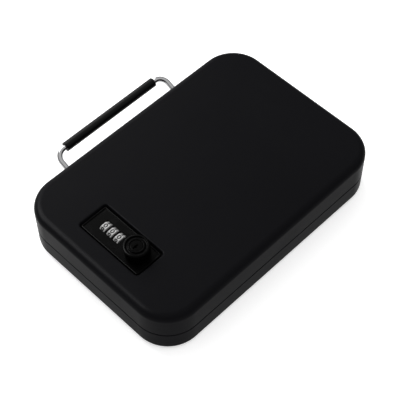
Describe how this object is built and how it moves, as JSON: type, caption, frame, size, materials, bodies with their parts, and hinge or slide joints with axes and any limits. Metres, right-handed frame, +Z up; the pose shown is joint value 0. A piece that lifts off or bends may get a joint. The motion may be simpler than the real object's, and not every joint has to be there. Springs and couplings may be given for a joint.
{
  "type": "medication lock box",
  "caption": "Flat rounded steel case with a hinged lid, a number-dial lock with a turn knob in a recessed plate, and a folding wire bail handle with a grip.",
  "frame": {"origin": "middle of the case's flat underside", "axes": "+Y from the lock end to the hinge end, +X away from the bail's side, +Z up"},
  "size_m": [0.197, 0.2436, 0.0548],
  "materials": {
    "case_paint": "satin black powder coat",
    "lock_black": "semi-gloss black over die-cast zinc",
    "bright_chrome": "bright chrome plate",
    "zinc_steel": "zinc-plated steel",
    "dial_metal": "satin silver",
    "yellow_brass": "turned",
    "grip_rubber": "smooth matte",
    "liner_foam": "fine closed-cell foam"
  },
  "bodies": {
    "base": {"base_shell": "case_paint", "strike_plate": "zinc_steel", "hinge_leaf_base": "zinc_steel", "hinge_pin": "zinc_steel", "bail_bracket_front": "bright_chrome", "bail_bracket_rear": "bright_chrome", "bail_bracket_rivet_1": "bright_chrome", "bail_bracket_rivet_2": "bright_chrome", "bail_bracket_rivet_3": "bright_chrome", "bail_bracket_rivet_4": "bright_chrome", "base_foam_pad": "liner_foam"},
    "lid": {"lid_shell": "case_paint", "hinge_leaf_lid": "zinc_steel", "lid_foam_pad": "liner_foam", "lock_bezel": "lock_black", "lock_housing": "lock_black", "lock_screw_1": "zinc_steel", "lock_screw_2": "zinc_steel", "lock_screw_3": "zinc_steel", "lock_screw_4": "zinc_steel", "dial_axle": "zinc_steel", "dial_detent_spring": "zinc_steel", "locking_bar": "zinc_steel", "reset_spring": "zinc_steel"},
    "wheel_1": {"dial_1": "dial_metal", "code_sleeve_1": "yellow_brass"},
    "wheel_2": {"dial_2": "dial_metal", "code_sleeve_2": "yellow_brass"},
    "wheel_3": {"dial_3": "dial_metal", "code_sleeve_3": "yellow_brass"},
    "knob": {"turn_knob": "lock_black", "knob_spindle": "zinc_steel", "latch_cam": "zinc_steel", "cam_washer": "zinc_steel", "cam_screw": "zinc_steel"},
    "plug": {"key_plug": "lock_black"},
    "reset": {"reset_button": "yellow_brass"},
    "handle": {"handle_bail": "bright_chrome", "handle_grip": "grip_rubber"}
  },
  "joints": [
    {"name": "lid_hinge", "type": "hinge", "parent": "base", "child": "lid", "pos_m": [0, 0.1205, 0.021], "axis": [-1, 0, 0], "range_deg": [0, 105]},
    {"name": "dial_1_spin", "type": "hinge", "parent": "lid", "child": "wheel_1", "pos_m": [-0.0178, -0.087, 0.03796], "axis": [1, 0, 0], "continuous": true},
    {"name": "dial_2_spin", "type": "hinge", "parent": "lid", "child": "wheel_2", "pos_m": [-0.0103, -0.087, 0.03796], "axis": [1, 0, 0], "continuous": true},
    {"name": "dial_3_spin", "type": "hinge", "parent": "lid", "child": "wheel_3", "pos_m": [-0.0028, -0.087, 0.03796], "axis": [1, 0, 0], "continuous": true},
    {"name": "knob_turn", "type": "hinge", "parent": "lid", "child": "knob", "pos_m": [0.017, -0.087, 0.046], "axis": [0, 0, -1], "range_deg": [0, 90]},
    {"name": "key_plug_turn", "type": "hinge", "parent": "knob", "child": "plug", "pos_m": [0.017, -0.087, 0.05], "axis": [0, 0, -1], "range_deg": [0, 90]},
    {"name": "reset_press", "type": "slide", "parent": "lid", "child": "reset", "axis": [0, 0, 1], "range_m": [0, 0.002], "stiffness_N_per_m": 400, "springref_m": -0.001, "deforming": ["reset_spring"]},
    {"name": "handle_swing", "type": "hinge", "parent": "base", "child": "handle", "pos_m": [-0.08565, 0, 0.014], "axis": [0, 1, 0], "range_deg": [-45, 59.8]}
  ]
}
